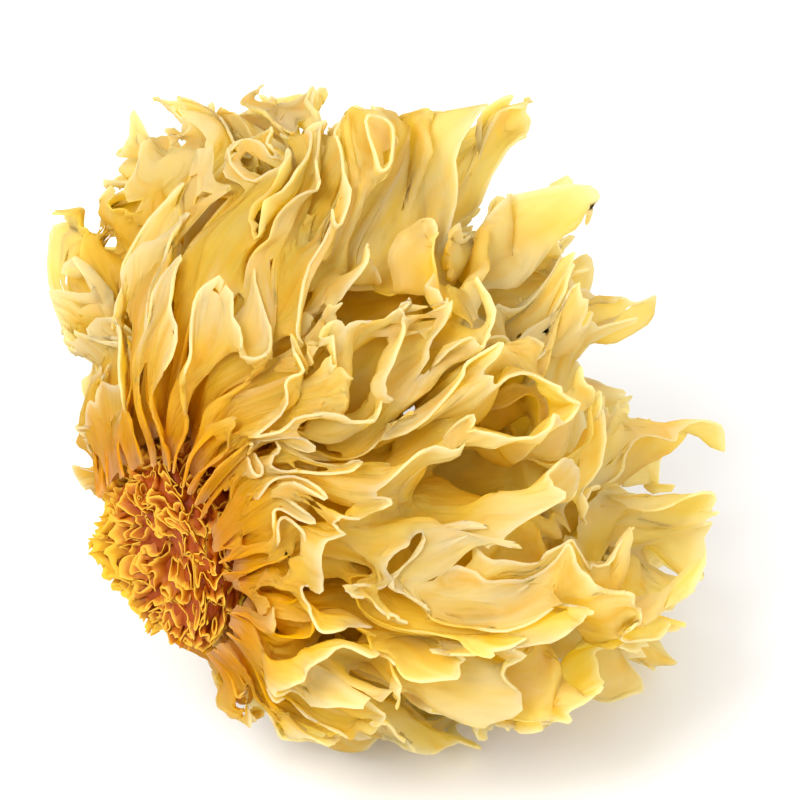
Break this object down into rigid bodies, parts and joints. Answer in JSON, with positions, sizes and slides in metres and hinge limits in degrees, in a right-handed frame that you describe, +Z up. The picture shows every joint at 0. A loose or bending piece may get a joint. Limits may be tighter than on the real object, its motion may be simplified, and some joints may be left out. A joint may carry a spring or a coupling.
{
  "type": "dried snow fungus",
  "caption": "Whole dried snow fungus head, a round bunch of thin ruffled cream fronds growing from a hard amber base, lying on its side as a loose cooking ingredient",
  "frame": {"origin": "under the middle of the head's bounding box, on the surface that the head lies on", "axes": "+Z up; the base is at the front left, at low X and low Y, and the fronds point from it towards +X and +Y"},
  "size_m": [0.0812, 0.08, 0.0784],
  "materials": {
    "base": "dry, hard, crinkled amber to red-brown tissue",
    "frond": "dry, waxy, slightly see-through cream to yellow sheet"
  },
  "bodies": {
    "root": {"base": "base", "crown_frond_1": "frond", "crown_frond_2": "frond", "crown_frond_3": "frond", "inner_frond_1": "frond", "inner_frond_2": "frond", "inner_frond_3": "frond", "inner_frond_4": "frond", "inner_frond_5": "frond", "inner_frond_6": "frond", "outer_frond_1": "frond", "outer_frond_2": "frond", "outer_frond_3": "frond", "outer_frond_4": "frond", "outer_frond_5": "frond", "outer_frond_6": "frond", "outer_frond_7": "frond", "skirt_frond_1": "frond", "skirt_frond_2": "frond", "skirt_frond_3": "frond", "skirt_frond_4": "frond", "skirt_frond_5": "frond"}
  },
  "joints": []
}
